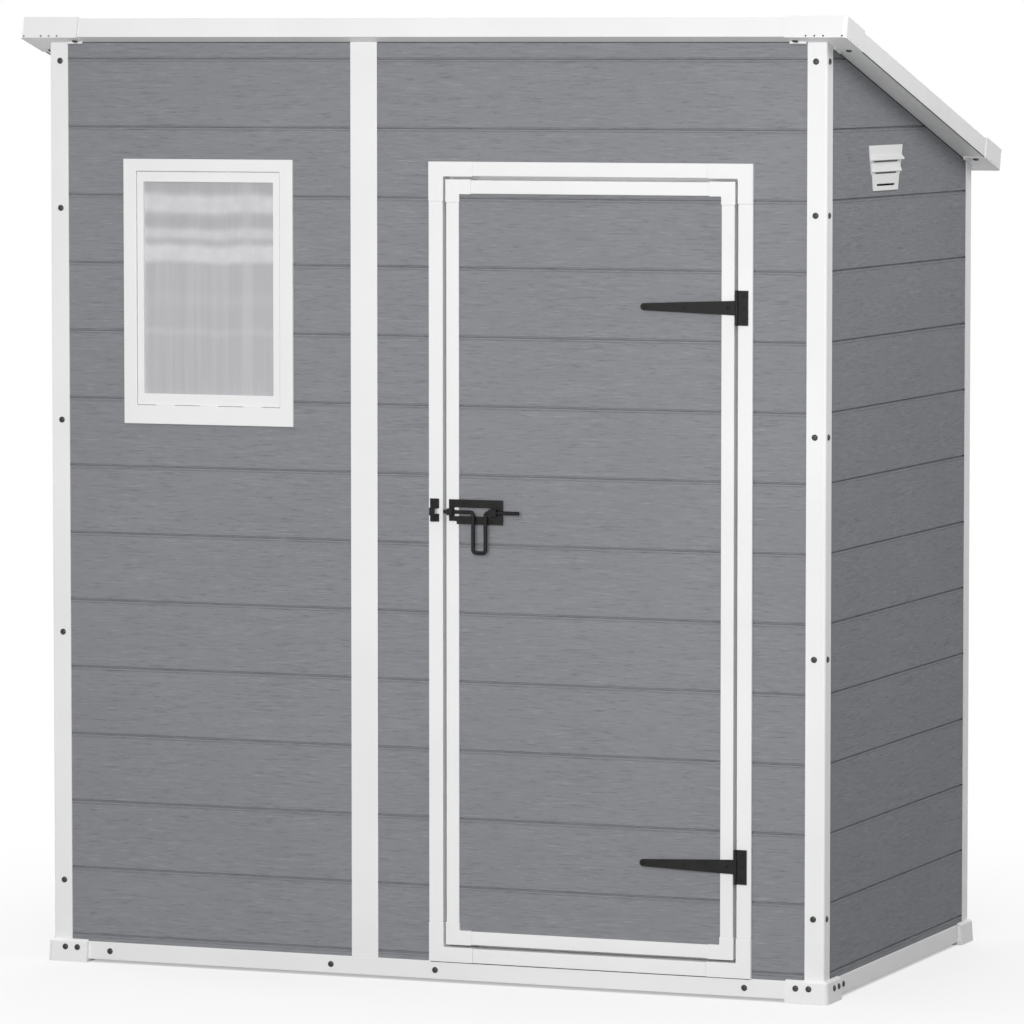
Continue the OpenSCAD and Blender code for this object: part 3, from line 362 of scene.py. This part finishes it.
# Edges that bend less than this stay as they are; the roof ribs have flatter edges
SHARP_EDGE = math.radians(34)
RIB_EDGE = math.radians(18)
WELD_REACH = 0.01 * MM
ROUND_STEPS = 2
NORMAL_WEIGHT = 90


def dress(piece, look, rounding, sharp):
    """Gives a node its material, and rounds its sharp edges without changing its mesh."""
    piece.data.materials.clear()
    piece.data.materials.append(look)
    if not rounding:
        return
    weld = piece.modifiers.new("weld", "WELD")
    weld.merge_threshold = WELD_REACH
    bevel = piece.modifiers.new("bevel", "BEVEL")
    bevel.width = rounding
    bevel.segments = ROUND_STEPS
    bevel.limit_method = "ANGLE"
    bevel.angle_limit = sharp
    bevel.miter_outer = "MITER_ARC"
    normals = piece.modifiers.new("normals", "WEIGHTED_NORMAL")
    normals.weight = NORMAL_WEIGHT


for subpart in frame["record"]["subparts"]:
    node, slot = subpart["node"], subpart["material_slot"]
    rounding = NODE_ROUND.get(node, SLOT_ROUND.get(slot, 0.0))
    dress(nodes[node], SLOT_LOOKS[slot], rounding, RIB_EDGE if slot == "roof_resin" else SHARP_EDGE)


def object_from(name, bm):
    """A new object in the scene from a bmesh."""
    mesh = bpy.data.meshes.new(name)
    bm.normal_update()
    bm.to_mesh(mesh)
    bm.free()
    made = bpy.data.objects.new(name, mesh)
    scene.collection.objects.link(made)
    return made


def piece_from(name, bm, look, body):
    """A new piece from a bmesh, riding on a body."""
    piece = object_from(name, bm)
    piece.data.materials.append(look)
    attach(piece, body)
    return piece


def closed_piece(name, bm, look, body):
    """A new piece from closed shapes, with their faces turned outwards first."""
    bmesh.ops.recalc_face_normals(bm, faces=bm.faces)
    return piece_from(name, bm, look, body)


# Cross-recess screws: each size of head is drawn once and set on the solids
HEAD_SIDES = 24
RECESS_SIDES = 12
SCREW_SMOOTH = math.radians(40)


def lathe(profile, sides):
    """A closed turned shape about Z from (radius, height) points that start and end on the axis."""
    bm = bmesh.new()
    turns = [2 * math.pi * k / sides for k in range(sides)]
    rings = []
    for radius, height in profile:
        if radius == 0:
            rings.append([bm.verts.new((0, 0, height))])
            continue
        ring = [(radius * math.cos(turn), radius * math.sin(turn), height) for turn in turns]
        rings.append([bm.verts.new(point) for point in ring])
    for low, high in zip(rings, rings[1:]):
        for k in range(sides):
            a, b = low[k % len(low)], low[(k + 1) % len(low)]
            c, d = high[(k + 1) % len(high)], high[k % len(high)]
            bm.faces.new(list(dict.fromkeys((a, b, c, d))))
    bmesh.ops.recalc_face_normals(bm, faces=bm.faces)
    return bm


def screw_head(radius, height):
    """A pan head with a cross recess, its seat at z = 0, as a mesh."""
    profile = [
        (0, -0.4 * height),
        (0.96 * radius, -0.4 * height),
        (radius, 0.18 * height),
        (0.93 * radius, 0.55 * height),
        (0.76 * radius, 0.84 * height),
        (0.5 * radius, 0.97 * height),
        (0, height),
    ]
    head = object_from("head", lathe(profile, HEAD_SIDES))
    bm = bmesh.new()
    arm = Matrix.Diagonal((1.15 * radius, 0.26 * radius, 1.2 * height, 1))
    for turn in (0, math.pi / 2):
        to_place = Matrix.Translation((0, 0, height)) @ Matrix.Rotation(turn, 4, "Z")
        bmesh.ops.create_cube(bm, size=1.0, matrix=to_place @ arm)
    bmesh.ops.create_cone(
        bm,
        cap_ends=True,
        segments=RECESS_SIDES,
        radius1=0.08 * radius,
        radius2=0.36 * radius,
        depth=1.4 * height,
        matrix=Matrix.Translation((0, 0, 0.92 * height)),
    )
    cross = object_from("cross", bm)
    cut = head.modifiers.new("cut", "BOOLEAN")
    cut.operation = "DIFFERENCE"
    cut.solver = "EXACT"
    cut.use_self = True
    cut.object = cross
    bpy.context.view_layer.update()
    finished = head.evaluated_get(bpy.context.evaluated_depsgraph_get())
    mesh = bpy.data.meshes.new_from_object(finished)
    for made in (head, cross):
        bpy.data.objects.remove(made)
    return mesh


BIG_SCREW = screw_head(6.5 * MM, 2.8 * MM)
SMALL_SCREW = screw_head(3.1 * MM, 1.4 * MM)

# Search trees of the nodes that carry screws, and the screws' turns, the same in each run
carriers = {}
draw = random.Random(7)


def seat(node, start, direction):
    """Where a ray from start meets a node, and the surface's outward direction there."""
    start, direction = Vector(start), Vector(direction)
    if node not in carriers:
        mesh = nodes[node].data
        points = [vertex.co for vertex in mesh.vertices]
        faces = [list(polygon.vertices) for polygon in mesh.polygons]
        carriers[node] = BVHTree.FromPolygons(points, faces)
    place, normal, _, _ = carriers[node].ray_cast(start, direction)
    if place is None:
        raise ValueError(f"no seat on {node} from {start}")
    if normal.dot(direction) > 0:
        normal = -normal
    return place, normal


def screws(name, head, node, rays, body):
    """Screws set on a node where rays (start, direction) meet it, each at its own turn."""
    bm = bmesh.new()
    for start, direction in rays:
        place, normal = seat(node, start, direction)
        turn = Matrix.Rotation(draw.uniform(0, math.pi), 4, "Z")
        upright = normal.to_track_quat("Z", "Y").to_matrix().to_4x4()
        placed = head.copy()
        placed.transform(Matrix.Translation(place) @ upright @ turn)
        bm.from_mesh(placed)
        bpy.data.meshes.remove(placed)
    look = SCREW if head is BIG_SCREW else DARK_SCREW
    piece = piece_from(name, bm, look, body)
    piece.data.polygons.foreach_set("use_smooth", [True] * len(piece.data.polygons))
    piece.data.set_sharp_from_angle(angle=SCREW_SMOOTH)


# Screw places in metres: X from the middle, Z from the ground, IN from the front wall or the
# hinge pin, and STEPS up and down from the hinge, the bolt or the keeper
RAY_START = 0.1
POST_X, POST_IN = 0.840, 0.012
POST_HEIGHTS = {"front": (1.912, 1.602, 1.154, 0.703, 0.173), "rear": (1.640, 1.154, 0.703, 0.173)}
RAIL_XS, RAIL_Z = (-0.733, -0.2235, 0.012, 0.693), 0.025
SIDE_RAIL_IN, SIDE_RAIL_Z = 0.116, 0.026
FOOT_XS, FOOT_Z = (0.806, 0.834), 0.031
FOOT_SIDE_INS, FOOT_SIDE_Z = (0.0325, 0.062), 0.029
STRAP_XS = (0.4775, 0.562, 0.6565)
LEAF_IN, LEAF_STEPS = 0.015, (-0.026, 0, 0.026)
PLATE_XS, PLATE_STEPS = (0.078, 0.143), (-0.0195, 0.0195)
KEEPER_X, KEEPER_STEPS = 0.0137, (-0.0185, 0.0185)
# From the roof's side edge and from its front or rear edge
CAP_INS = ((0.116, 0.027), (0.026, 0.102))
CAP_RAY_DROP = 0.05


def end_ray(end, x, z):
    """A ray from outside onto the front or the rear."""
    face, outward = ENDS[end]
    return (x, face + outward * RAY_START, z), (0, -outward, 0)


def side_ray(side, y, z):
    """A ray from outside onto a side."""
    outward = SIDES[side]
    return (outward * (HALF_W + RAY_START), y, z), (-outward, 0, 0)


for end in ENDS:
    for side, sign in SIDES.items():
        rays = []
        for z in POST_HEIGHTS[end]:
            rays.append(end_ray(end, sign * POST_X, z))
            if end == "front":
                rays.append(side_ray(side, FRONT_Y + POST_IN, z))
        screws(f"post_screws_{end}_{side}", BIG_SCREW, f"corner_post_{end}_{side}", rays, "shed")
    rays = [end_ray(end, x, RAIL_Z) for x in RAIL_XS]
    screws(f"rail_screws_{end}", BIG_SCREW, f"base_rail_{end}", rays, "shed")

for side in SIDES:
    rays = [side_ray(side, FRONT_Y + SIDE_RAIL_IN, SIDE_RAIL_Z)]
    screws(f"rail_screws_{side}", BIG_SCREW, f"base_rail_{side}", rays, "shed")

rays = []
for end in ENDS:
    for side, sign in SIDES.items():
        rays += [end_ray(end, sign * x, FOOT_Z) for x in FOOT_XS]
        if end == "front":
            rays += [side_ray(side, FRONT_Y + inset, FOOT_SIDE_Z) for inset in FOOT_SIDE_INS]
screws("foot_screws", BIG_SCREW, "corner_feet", rays, "shed")

rays = [end_ray("front", x, z) for z in HINGE_HEIGHTS for x in STRAP_XS]
screws("hinge_strap_screws", SMALL_SCREW, "hinge_straps", rays, "door")
rays = [end_ray("front", HINGE_X + LEAF_IN, z + step) for z in HINGE_HEIGHTS for step in LEAF_STEPS]
screws("hinge_leaf_screws", SMALL_SCREW, "hinge_leaves", rays, "shed")
rays = [end_ray("front", x, BOLT_Z + step) for x in PLATE_XS for step in PLATE_STEPS]
screws("latch_plate_screws", SMALL_SCREW, "latch_plate", rays, "door")
rays = [end_ray("front", KEEPER_X, KEEPER_Z + step) for step in KEEPER_STEPS]
screws("keeper_screws", SMALL_SCREW, "latch_keeper", rays, "shed")

# Roof frame: y runs down the slope from the front edge and z stands on the underside
roof_to_world = Matrix.Translation(ROOF_ORIGIN) @ Matrix.Rotation(ROOF_PITCH, 4, "X")
world_to_roof = roof_to_world.inverted()


def roof_points(node):
    """The points of a node in the roof frame."""
    return [world_to_roof @ vertex.co for vertex in nodes[node].data.vertices]


cap_points = roof_points("roof_corner_caps")
ROOF_HALF_W = max(point.x for point in cap_points)
ROOF_LENGTH = max(point.y for point in cap_points)

roof_up = roof_to_world.to_3x3() @ Vector((0, 0, 1))
rays = []
for sign in SIDES.values():
    for side_in, end_in in CAP_INS:
        for y in (end_in, ROOF_LENGTH - end_in):
            start = Vector((sign * (ROOF_HALF_W - side_in), y, -CAP_RAY_DROP))
            rays.append((roof_to_world @ start, roof_up))
screws("cap_screws", BIG_SCREW, "roof_corner_caps", rays, "shed")


# Dark strips of painted shadow in the shaded joints: along the wall tops under the eaves and behind the side
# fascias
SHADOW_STRIP_DEPTH = 1.0 * MM
SHADOW_STRIP_GAP = 0.25 * MM
FRONT_SHADOW_STRIP_H = 1.3 * MM
SIDE_SHADOW_STRIP_H = 2.4 * MM
FASCIA_SHADOW_STRIP_W, FASCIA_SHADOW_STRIP_H = 2.2 * MM, 0.7 * MM


def bar(bm, low, high, to_world=Matrix.Identity(4)):
    """A box between two corners of its own frame."""
    low, high = Vector(low), Vector(high)
    size = Matrix.Diagonal((*(high - low), 1))
    middle = Matrix.Translation((low + high) / 2)
    bmesh.ops.create_cube(bm, size=1.0, matrix=to_world @ middle @ size)


def soffit_z(y):
    """Height of the underside of the roof over a place."""
    return ROOF_ORIGIN.z + (y - ROOF_ORIGIN.y) * math.tan(ROOF_PITCH)


def down_slope(y):
    """Distance along the underside of the roof from its front edge to a place."""
    return (y - ROOF_ORIGIN.y) / math.cos(ROOF_PITCH)


bm = bmesh.new()
for end, (wall_y, outward) in ENDS.items():
    strip_low, strip_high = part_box(f"joiner_strip_{end}")
    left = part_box(f"corner_post_{end}_left")[1].x
    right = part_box(f"corner_post_{end}_right")[0].x
    near, far = sorted((wall_y, wall_y + outward * SHADOW_STRIP_DEPTH))
    top = min(soffit_z(near), soffit_z(far)) - SHADOW_STRIP_GAP
    for start, stop in ((left, strip_low.x), (strip_high.x, right)):
        bar(bm, (start, near, top - FRONT_SHADOW_STRIP_H), (stop, far, top))
for side, sign in SIDES.items():
    trim = roof_points(f"roof_trim_{side}")
    start, stop = min(point.y for point in trim), max(point.y for point in trim)
    edge = max(abs(point.x) for point in trim) - SHADOW_STRIP_GAP
    near, far = sorted((sign * (edge - FASCIA_SHADOW_STRIP_W), sign * edge))
    bar(bm, (near, start, -FASCIA_SHADOW_STRIP_H), (far, stop, 0), roof_to_world)
    start = down_slope(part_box(f"corner_post_front_{side}")[1].y)
    stop = down_slope(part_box(f"corner_post_rear_{side}")[0].y)
    near, far = sorted((sign * HALF_W, sign * (HALF_W + SHADOW_STRIP_DEPTH)))
    bar(bm, (near, start, -SHADOW_STRIP_GAP - SIDE_SHADOW_STRIP_H), (far, stop, -SHADOW_STRIP_GAP), roof_to_world)
closed_piece("eave_seals", bm, SHADOW_STRIP_DARK, "shed")


# Thin black strips of painted shade on the jamb behind the slits between the hinge straps and their leaves
JAMB_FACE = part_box("door_frame_jambs")[0].y
SLIT_SHADE_START, SLIT_SHADE_END = 1.9 * MM, 4.2 * MM
SLIT_SHADE_HALF_H = 15.4 * MM
SLIT_SHADE_DEPTH = 0.3 * MM
bm = bmesh.new()
for z in HINGE_HEIGHTS:
    low = (HINGE_X + SLIT_SHADE_START, JAMB_FACE - SLIT_SHADE_DEPTH, z - SLIT_SHADE_HALF_H)
    high = (HINGE_X + SLIT_SHADE_END, JAMB_FACE, z + SLIT_SHADE_HALF_H)
    bar(bm, low, high)
closed_piece("hinge_leaf_roots", bm, DARK_SCREW, "shed")


# Thin dark strip of painted shadow in the joint between the door frame and the base rail under it
RAIL_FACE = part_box("base_rail_front")[0].y
SILL_SHADOW_STRIP_H = 1.8 * MM
SILL_SHADOW_STRIP_PROUD, SILL_SHADOW_STRIP_IN = 0.3 * MM, 1.0 * MM
SILL_SHADOW_STRIP_SHORT = 3 * MM
frame_low, frame_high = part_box("door_frame_corners")
low = (frame_low.x + SILL_SHADOW_STRIP_SHORT, RAIL_FACE - SILL_SHADOW_STRIP_PROUD, frame_low.z - SILL_SHADOW_STRIP_H)
high = (frame_high.x - SILL_SHADOW_STRIP_SHORT, RAIL_FACE + SILL_SHADOW_STRIP_IN, frame_low.z)
bm = bmesh.new()
bar(bm, low, high)
closed_piece("sill_seal", bm, SHADOW_STRIP_DARK, "shed")


# Tread bars of the floor, each at right angles to its neighbours
TREAD_LENGTH, TREAD_WIDTH, TREAD_HEIGHT = 30 * MM, 6 * MM, 1.2 * MM
TREAD_SINK = 0.2 * MM
# The size of a bar's top, as a share of its foot
TREAD_TOP_X, TREAD_TOP_Y = 0.86, 0.55
TREAD_TURN = math.radians(45)
TREAD_PITCH = 52 * MM
TREAD_MARGIN_X, TREAD_MARGIN_Y = 0.05, 0.09


def tread(bm, x, y, z, turn):
    """One bar with pointed ends, its top smaller than its foot."""
    tip, side = TREAD_LENGTH / 2, TREAD_WIDTH / 2
    shoulder = tip - side
    near_side = [(-tip, 0), (-shoulder, -side), (shoulder, -side)]
    outline = near_side + [(-px, -py) for px, py in near_side]
    to_place = Matrix.Translation((x, y, z)) @ Matrix.Rotation(turn, 4, "Z")
    foot = [Vector((px, py, -TREAD_SINK)) for px, py in outline]
    top = [Vector((px * TREAD_TOP_X, py * TREAD_TOP_Y, TREAD_HEIGHT)) for px, py in outline]
    low = [bm.verts.new(to_place @ point) for point in foot]
    high = [bm.verts.new(to_place @ point) for point in top]
    bm.faces.new(high)
    bm.faces.new(reversed(low))
    for k in range(len(outline)):
        following = (k + 1) % len(outline)
        bm.faces.new((low[k], low[following], high[following], high[k]))


floor_low, floor_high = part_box("floor_panel")
columns = int((floor_high.x - floor_low.x - TREAD_MARGIN_X) / TREAD_PITCH)
rows = int((floor_high.y - floor_low.y - TREAD_MARGIN_Y) / TREAD_PITCH)
middle = (floor_low + floor_high) / 2
bm = bmesh.new()
for i in range(columns):
    for j in range(rows):
        x = middle.x + (i - (columns - 1) / 2) * TREAD_PITCH
        y = middle.y + (j - (rows - 1) / 2) * TREAD_PITCH
        tread(bm, x, y, floor_high.z, TREAD_TURN if (i + j) % 2 else -TREAD_TURN)
closed_piece("floor_tread", bm, DECK, "shed")


# Stage: pale floor, white surroundings and soft light
FLOOR_RADIUS, FLOOR_SIDES = 14, 96
FLOOR_DROP = 0.4 * MM
FLOOR_BOUNCE = 0.28
# The floor's own white grows between these distances from the middle, from this share
WHITE_REACH = (0.8, 2.6)
WHITE_NEAR = 0.68
# Share of that white that is left under the raised rails, and the width of that shade's edge
UNDER_RAILS = 0.63
SHADE_EDGE = 6 * MM
SKY_LEVEL = 0.45


def white_to_camera(s):
    """1 for rays from the camera, a reflection or a clear material, else 0."""
    path = s.add("ShaderNodeLightPath")
    seen = s.larger(path.outputs["Is Camera Ray"], path.outputs["Is Glossy Ray"])
    return s.larger(seen, path.outputs["Is Transmission Ray"])


def past_walls(s, x, y):
    """Distance outside the footprint of the walls, below 0 inside."""
    beside = s.minus(s.math("ABSOLUTE", x), HALF_W)
    from_middle = s.math("ABSOLUTE", s.minus(y, (FRONT_Y + REAR_Y) / 2))
    return s.larger(beside, s.minus(from_middle, (REAR_Y - FRONT_Y) / 2))


def floor_paper():
    """Pale matt paper that turns to plain white away from the object."""
    s = new_material("stage_floor")
    x, y, z = s.place()
    flat = s.vector(x, y, 0.0)
    reach = s.add("ShaderNodeVectorMath", {0: flat}, operation="LENGTH").outputs["Value"]
    paper = s.noise(s.vector(x, y, z), scale=60.0, detail=3.0)
    seen = white_to_camera(s)
    pale = s.mix(paper, rgb(0.89, 0.89, 0.89), rgb(0.93, 0.93, 0.93))
    tone = s.mix(seen, rgb(FLOOR_BOUNCE, FLOOR_BOUNCE, FLOOR_BOUNCE), pale)
    matt = s.add("ShaderNodeBsdfDiffuse", {"Color": tone}).outputs[0]
    glow = s.add("ShaderNodeEmission", {"Color": rgb(1, 1, 1), "Strength": 1.0}).outputs[0]
    under = s.ramp(past_walls(s, x, y), (0.0, SHADE_EDGE), (UNDER_RAILS, 1.0))
    white = s.times(s.times(s.ramp(reach, WHITE_REACH, (WHITE_NEAR, 1.0)), under), seen)
    return s.show(s.add("ShaderNodeMixShader", {0: white, 1: matt, 2: glow}))


def stage_floor():
    bm = bmesh.new()
    rim = []
    for k in range(FLOOR_SIDES):
        turn = 2 * math.pi * k / FLOOR_SIDES
        place = (FLOOR_RADIUS * math.cos(turn), FLOOR_RADIUS * math.sin(turn), -FLOOR_DROP)
        rim.append(bm.verts.new(place))
    bm.faces.new(rim)
    floor = object_from("stage_floor", bm)
    floor.data.materials.append(floor_paper())


def surroundings():
    s = Wiring(bpy.data.worlds.new("surroundings"), "ShaderNodeOutputWorld")
    level = s.ramp(white_to_camera(s), (0.0, 1.0), (SKY_LEVEL, 1.0))
    scene.world = s.show(s.add("ShaderNodeBackground", {"Color": rgb(1, 1, 1), "Strength": level}))


def soft_light(name, place, target, size, watts):
    lamp = bpy.data.lights.new(name, "AREA")
    lamp.shape = "RECTANGLE"
    lamp.size, lamp.size_y = size
    lamp.energy = watts
    made = bpy.data.objects.new(name, lamp)
    scene.collection.objects.link(made)
    made.location = place
    made.rotation_mode = "QUATERNION"
    made.rotation_quaternion = (Vector(target) - Vector(place)).to_track_quat("-Z", "Y")


def photo_camera():
    lens = bpy.data.cameras.new("camera")
    lens.lens = CAMERA_LENS
    lens.sensor_width = CAMERA_SENSOR
    lens.clip_end = CAMERA_REACH
    camera = bpy.data.objects.new("camera", lens)
    scene.collection.objects.link(camera)
    camera.location = CAMERA_PLACE
    camera.rotation_euler = (math.pi / 2 - CAMERA_PITCH, 0, CAMERA_YAW)
    scene.camera = camera


stage_floor()
surroundings()
soft_light("key", place=(1.0, -5.4, 1.8), target=(0.1, -0.4, 0.95), size=(3.4, 2.4), watts=174)
soft_light("right", place=(3.0, -0.5, 3.2), target=(0.9, -0.2, 1.7), size=(1.4, 1.6), watts=31)
soft_light("left", place=(-4.4, 0.2, 3.0), target=(-0.9, 0, 1.1), size=(2.4, 2.0), watts=75)
soft_light("rear", place=(-1.2, 5.4, 2.4), target=(0, 0.4, 0.9), size=(3.4, 2.4), watts=150)
photo_camera()
scene.view_settings.view_transform = "Standard"
